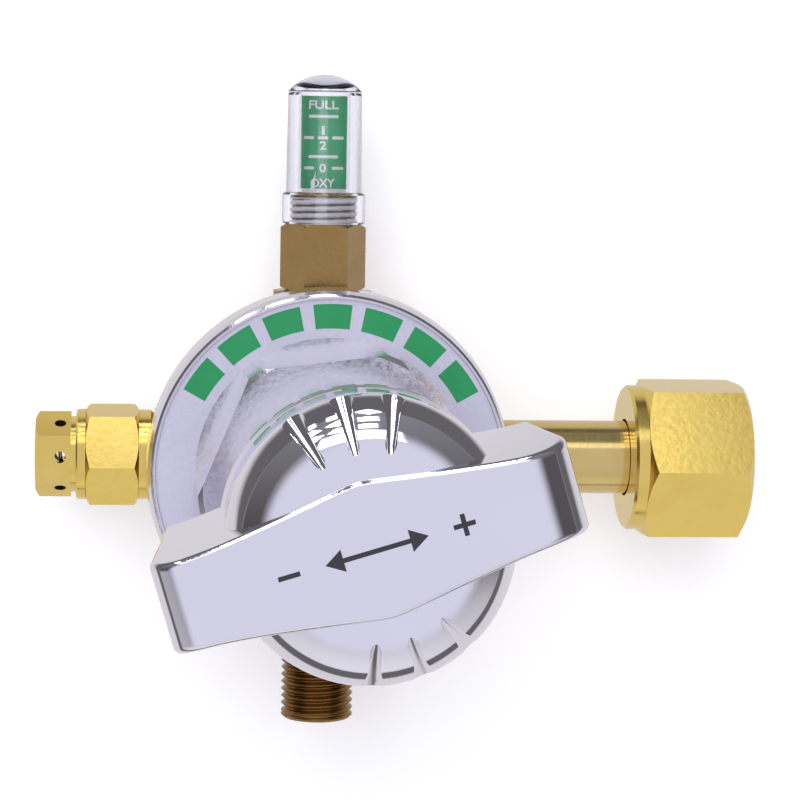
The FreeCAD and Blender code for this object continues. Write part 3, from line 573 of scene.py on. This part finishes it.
def makeRoom():
    world = bpy.data.worlds.new("studioRoom")
    bpy.context.scene.world = world
    world.use_nodes = True
    tree = world.node_tree
    tree.nodes.clear()
    add, link = tree.nodes.new, tree.links.new
    way = add("ShaderNodeTexCoord")
    split = add("ShaderNodeSeparateXYZ")
    link(way.outputs["Generated"], split.inputs[0])
    rise = add("ShaderNodeMapRange")
    rise.inputs["From Min"].default_value = -1
    rise.inputs["From Max"].default_value = 1
    link(split.outputs["Z"], rise.inputs["Value"])
    sides = add("ShaderNodeValToRGB")
    stops = sides.color_ramp.elements
    while len(stops) < len(room["sides"]):
        stops.new(0.5)
    for stop, (position, colour) in zip(stops, room["sides"]):
        stop.position = position
        stop.color = (*colour, 1)
    link(rise.outputs["Result"], sides.inputs["Fac"])
    shade = sides.outputs["Color"]
    for part in ("front", "behind"):
        share = add("ShaderNodeMapRange")
        share.interpolation_type = "SMOOTHSTEP"
        share.inputs["From Min"].default_value = room[part + "From"]
        share.inputs["From Max"].default_value = room[part + "To"]
        link(split.outputs["Y"], share.inputs["Value"])
        blend = add("ShaderNodeMix")
        blend.data_type = "RGBA"
        link(share.outputs["Result"], blend.inputs["Factor"])
        link(shade, blend.inputs["A"])
        blend.inputs["B"].default_value = (*room[part], 1)
        shade = blend.outputs["Result"]
    lit = add("ShaderNodeBackground")
    link(shade, lit.inputs["Color"])
    plain = add("ShaderNodeBackground")
    plain.inputs["Color"].default_value = (1, 1, 1, 1)
    path = add("ShaderNodeLightPath")
    direct = add("ShaderNodeMath")
    direct.operation = "MAXIMUM"
    link(path.outputs["Is Camera Ray"], direct.inputs[0])
    link(path.outputs["Is Transmission Ray"], direct.inputs[1])
    choose = add("ShaderNodeMixShader")
    link(direct.outputs[0], choose.inputs[0])
    link(lit.outputs[0], choose.inputs[1])
    link(plain.outputs[0], choose.inputs[2])
    out = add("ShaderNodeOutputWorld")
    link(choose.outputs[0], out.inputs["Surface"])


makeRoom()

softLights = {
    "keyLight": {"at": (-0.12, -0.64, 0.62), "size": (0.62, 0.26), "power": 0.50, "colour": (1.0, 1.0, 1.0)},
    "fillLight": {
        "at": (-0.30, -1.20, 0.40), "size": (0.90, 0.90), "power": 8.5, "colour": (0.98, 0.98, 1.0),
        "hidden": True}}
# Three by three panes overhead give the chrome its chequered lights
for column, across in enumerate((-0.48, -0.27, -0.06)):
    for row, forward in enumerate((-0.44, -0.24, -0.04)):
        softLights["pane%d%d" % (column, row)] = {
            "at": (across, forward, 0.72), "size": (0.13, 0.11), "power": 0.16, "colour": (1.0, 0.99, 1.0)}
aim = Vector((portX, -0.05, 0.0))
for lightName, light in softLights.items():
    lamp = bpy.data.lights.new(lightName, "AREA")
    lamp.shape = "RECTANGLE"
    lamp.size, lamp.size_y = light["size"]
    lamp.energy = light["power"]
    lamp.color = light["colour"]
    holder = bpy.data.objects.new(lightName, lamp)
    holder.location = light["at"]
    holder.rotation_euler = (aim - Vector(light["at"])).to_track_quat("-Z", "Y").to_euler()
    holder.visible_glossy = not light.get("hidden", False)
    bpy.context.scene.collection.objects.link(holder)

# Camera at the photograph's angle, for an 800 by 800 frame
viewpoint = {
    "eye": (-0.1067, -0.5152, 0.0591), "yaw": 0.0999, "pitch": 0.0928, "roll": 0.0172,
    "frame": 800, "focalPixels": 2672.2}


def makeCamera():
    lens = bpy.data.cameras.new("photoCamera")
    lens.sensor_width = 36
    lens.lens = viewpoint["focalPixels"] / viewpoint["frame"] * lens.sensor_width
    lens.clip_start = 0.01
    yaw, pitch, roll = viewpoint["yaw"], viewpoint["pitch"], viewpoint["roll"]
    ahead = Vector((math.sin(yaw) * math.cos(pitch), math.cos(yaw) * math.cos(pitch), -math.sin(pitch)))
    right = ahead.cross(Vector((0, 0, 1))).normalized()
    up = right.cross(ahead)
    leanRight = right * math.cos(roll) + up * math.sin(roll)
    leanUp = up * math.cos(roll) - right * math.sin(roll)
    turn = Matrix((leanRight, leanUp, -ahead)).transposed()
    camera = bpy.data.objects.new("photoCamera", lens)
    camera.location = viewpoint["eye"]
    camera.rotation_euler = turn.to_euler()
    bpy.context.scene.collection.objects.link(camera)
    bpy.context.scene.camera = camera


makeCamera()
bpy.context.scene.view_settings.view_transform = "Standard"
print("stage, lights and camera made")
